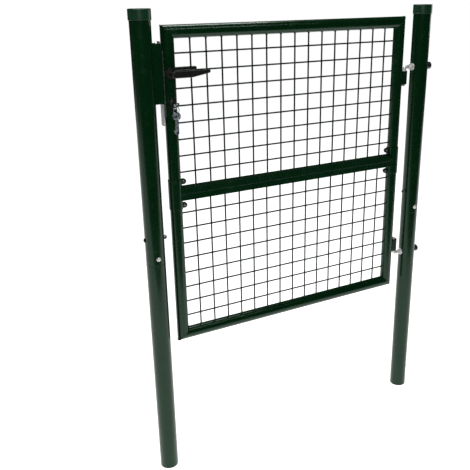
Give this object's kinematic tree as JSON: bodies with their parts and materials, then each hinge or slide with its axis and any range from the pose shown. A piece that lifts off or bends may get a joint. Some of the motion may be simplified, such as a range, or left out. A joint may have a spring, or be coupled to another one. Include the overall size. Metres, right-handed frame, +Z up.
{
  "type": "garden gate",
  "caption": "Green steel garden gate with two round posts, a welded mesh leaf on hook hinges, a lever handle, a mortise lock, a keeper and hanging keys.",
  "frame": {"origin": "centre of the hinge post's foot, on the level of both posts' lower ends", "axes": "+X from the latch post to the hinge post, +Y from the front face to the back, +Z up along the posts"},
  "size_m": [1.088, 0.1133, 1.496],
  "materials": {
    "green_paint": "gloss powder coat",
    "zinc_plate": "zinc plated",
    "black_plastic": "moulded",
    "dark_lever_finish": "dark satin",
    "key_nickel": "nickel plated"
  },
  "bodies": {
    "posts": {"latch_post_lower": "green_paint", "latch_post_upper": "green_paint", "latch_post_spigot": "green_paint", "latch_post_cap": "black_plastic", "hinge_post_lower": "green_paint", "hinge_post_upper": "green_paint", "hinge_post_spigot": "green_paint", "hinge_post_cap": "black_plastic", "post_front_bolts": "zinc_plate", "post_side_bolts": "green_paint", "post_nuts": "zinc_plate", "keeper": "green_paint", "keeper_screws": "zinc_plate", "upper_hook_bolt": "zinc_plate", "lower_hook_bolt": "zinc_plate", "hook_nuts": "zinc_plate", "hinge_washers": "zinc_plate", "hook_nut_caps": "black_plastic"},
    "handle": {"lever_front": "dark_lever_finish", "lever_back": "dark_lever_finish", "spindle": "zinc_plate", "lock_follower": "zinc_plate"},
    "latch": {"latch_bolt": "zinc_plate"},
    "dead": {"dead_bolt": "zinc_plate"},
    "door_key": {"key": "key_nickel"},
    "hanging_keys": {"key_ring": "key_nickel", "spare_key_1": "key_nickel", "spare_key_2": "key_nickel"},
    "leaf": {"back_keyhole_plate": "dark_lever_finish", "back_rose": "dark_lever_finish", "bottom_rail": "green_paint", "clamp_bolts": "zinc_plate", "clamp_nuts": "zinc_plate", "faceplate_screws": "zinc_plate", "front_keyhole_plate": "dark_lever_finish", "front_rose": "dark_lever_finish", "hinge_clamp_back": "green_paint", "hinge_clamp_front": "green_paint", "hinge_stile_lower": "green_paint", "hinge_stile_upper": "green_paint", "latch_clamp_back": "green_paint", "latch_clamp_front": "green_paint", "latch_stile_lower": "green_paint", "latch_stile_upper": "green_paint", "lock_case": "zinc_plate", "lock_faceplate": "zinc_plate", "lower_crossbar": "green_paint", "lower_hinge_bush": "green_paint", "lower_mesh": "green_paint", "top_rail": "green_paint", "upper_crossbar": "green_paint", "upper_hinge_bush": "green_paint", "upper_mesh": "green_paint"}
  },
  "joints": [
    {"name": "leaf_swing", "type": "hinge", "parent": "posts", "child": "leaf", "pos_m": [-0.0665, 0, 0.9355], "axis": [0, 0, -1], "range_deg": [0, 110]},
    {"name": "handle_turn", "type": "hinge", "parent": "leaf", "child": "handle", "pos_m": [-0.9265, 0, 1.319], "axis": [0, 1, 0], "range_deg": [0, 40], "stiffness_Nm_per_rad": 1.5, "springref_deg": -28.65},
    {"name": "latch_slide", "type": "slide", "parent": "leaf", "child": "latch", "axis": [1, 0, 0], "range_m": [0, 0.012]},
    {"name": "key_turn", "type": "hinge", "parent": "leaf", "child": "door_key", "pos_m": [-0.9265, 0, 1.231], "axis": [0, -1, 0], "range_deg": [0, 90]},
    {"name": "dead_bolt_slide", "type": "slide", "parent": "leaf", "child": "dead", "axis": [-1, 0, 0], "range_m": [0, 0.014]},
    {"name": "keys_hang", "type": "hinge", "parent": "leaf", "child": "hanging_keys", "pos_m": [-0.9265, -0.045, 1.231], "axis": [-1, 0, 0], "range_deg": [0, 15]}
  ],
  "couplings": [
    {"joint": "latch_slide", "follows": "handle_turn", "m_per_rad": 0.017189},
    {"joint": "key_turn", "follows": "dead_bolt_slide", "rad_per_m": 112.2}
  ]
}
